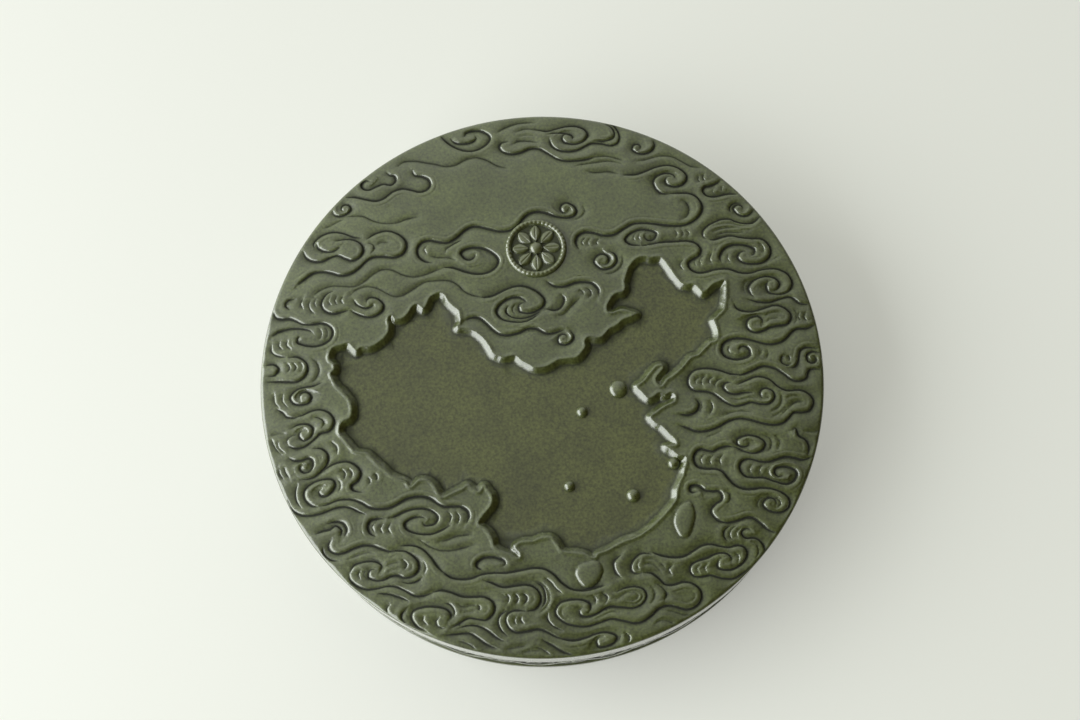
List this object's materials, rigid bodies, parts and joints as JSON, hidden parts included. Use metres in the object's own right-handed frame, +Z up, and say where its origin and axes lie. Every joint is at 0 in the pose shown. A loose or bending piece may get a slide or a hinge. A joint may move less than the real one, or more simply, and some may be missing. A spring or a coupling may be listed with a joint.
{
  "type": "inkstone",
  "caption": "Round carved inkstone: thick stone disc with a sunken ink pool, cloud-scroll carving, inset studs and a rosette medallion, on a ring foot.",
  "frame": {"origin": "centre of the underside, on the plane that the ring foot stands on", "axes": "+Z up out of the carved face, -Y towards the writer, +X to the writer's right"},
  "size_m": [0.26, 0.26, 0.0525],
  "materials": {
    "ink_stone": "hand carved, rubbed and waxed, satin",
    "inset_stone": "turned and polished, satin"
  },
  "bodies": {
    "root": {"stone_body": "ink_stone", "medallion": "inset_stone", "stud_north": "inset_stone", "stud_centre": "inset_stone", "stud_southwest": "inset_stone", "stud_south": "inset_stone", "stud_east": "inset_stone"}
  },
  "joints": []
}
